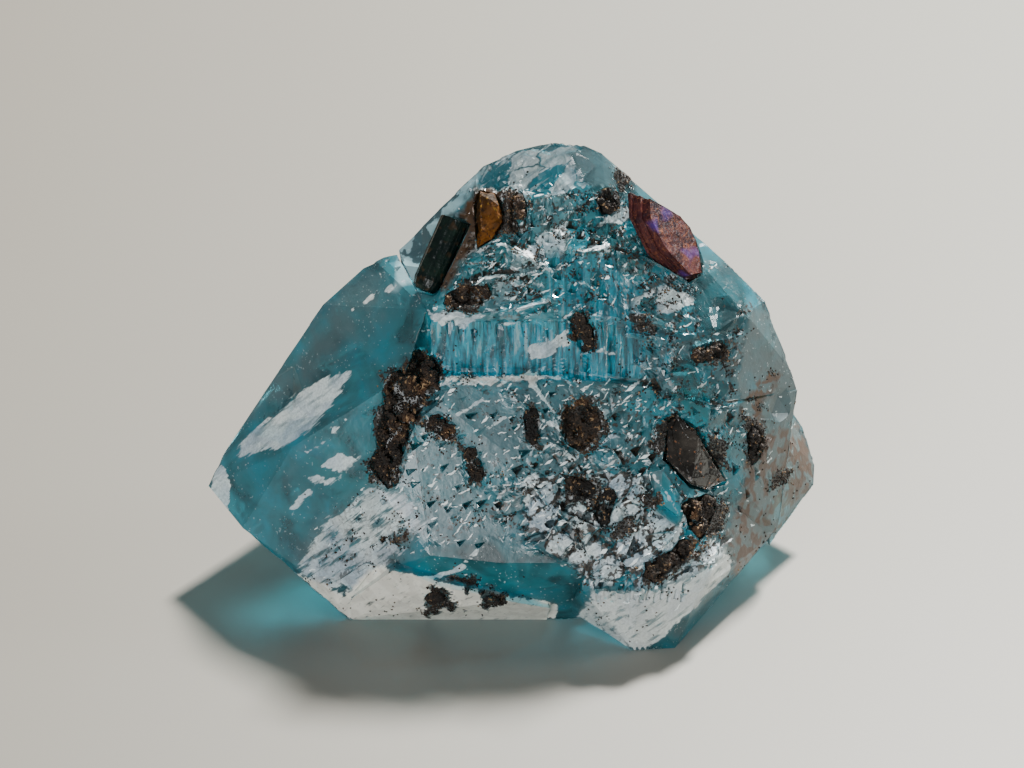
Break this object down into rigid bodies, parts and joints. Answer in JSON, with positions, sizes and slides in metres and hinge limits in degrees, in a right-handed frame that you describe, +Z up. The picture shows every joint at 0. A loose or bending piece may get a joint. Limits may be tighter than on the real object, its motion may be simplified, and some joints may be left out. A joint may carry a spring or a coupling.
{
  "type": "topaz crystal",
  "caption": "Blocky see-through blue topaz crystal, stepped and etched on its front, with small dark, orange and purple minerals and brown crusts set in it.",
  "frame": {"origin": "middle of the crystal's bounding box, on the surface that it rests on", "axes": "+Z up, +X to the right of the etched front, +Y away from it to the back"},
  "size_m": [0.082, 0.049, 0.0591],
  "materials": {
    "blue_topaz": "clear, teal blue, with smooth flat faces and etched frosty ones",
    "green_black_tourmaline": "glassy, striated along its length",
    "orange_garnet": "cracked and granular, half clear",
    "purple_mica": "pearly sheets with orange stained cracks",
    "smoky_quartz": "smooth, grey-brown, half clear",
    "brown_iron_crust": "earthy and spongy"
  },
  "bodies": {
    "root": {"topaz_crystal": "blue_topaz", "tourmaline_prism": "green_black_tourmaline", "garnet_grain": "orange_garnet", "mica_book": "purple_mica", "smoky_quartz_grain": "smoky_quartz", "left_crust": "brown_iron_crust", "left_spur_crust": "brown_iron_crust", "middle_crust": "brown_iron_crust", "slim_crust": "brown_iron_crust", "small_crust": "brown_iron_crust", "streak_crust": "brown_iron_crust", "upper_crust": "brown_iron_crust", "garnet_crust": "brown_iron_crust", "peak_crust": "brown_iron_crust", "right_high_crust": "brown_iron_crust", "right_low_crust": "brown_iron_crust", "shelf_crust": "brown_iron_crust", "plate_crust": "brown_iron_crust", "lower_crust": "brown_iron_crust", "hem_crust_left": "brown_iron_crust", "hem_crust_right": "brown_iron_crust", "side_crust": "brown_iron_crust"}
  },
  "joints": []
}
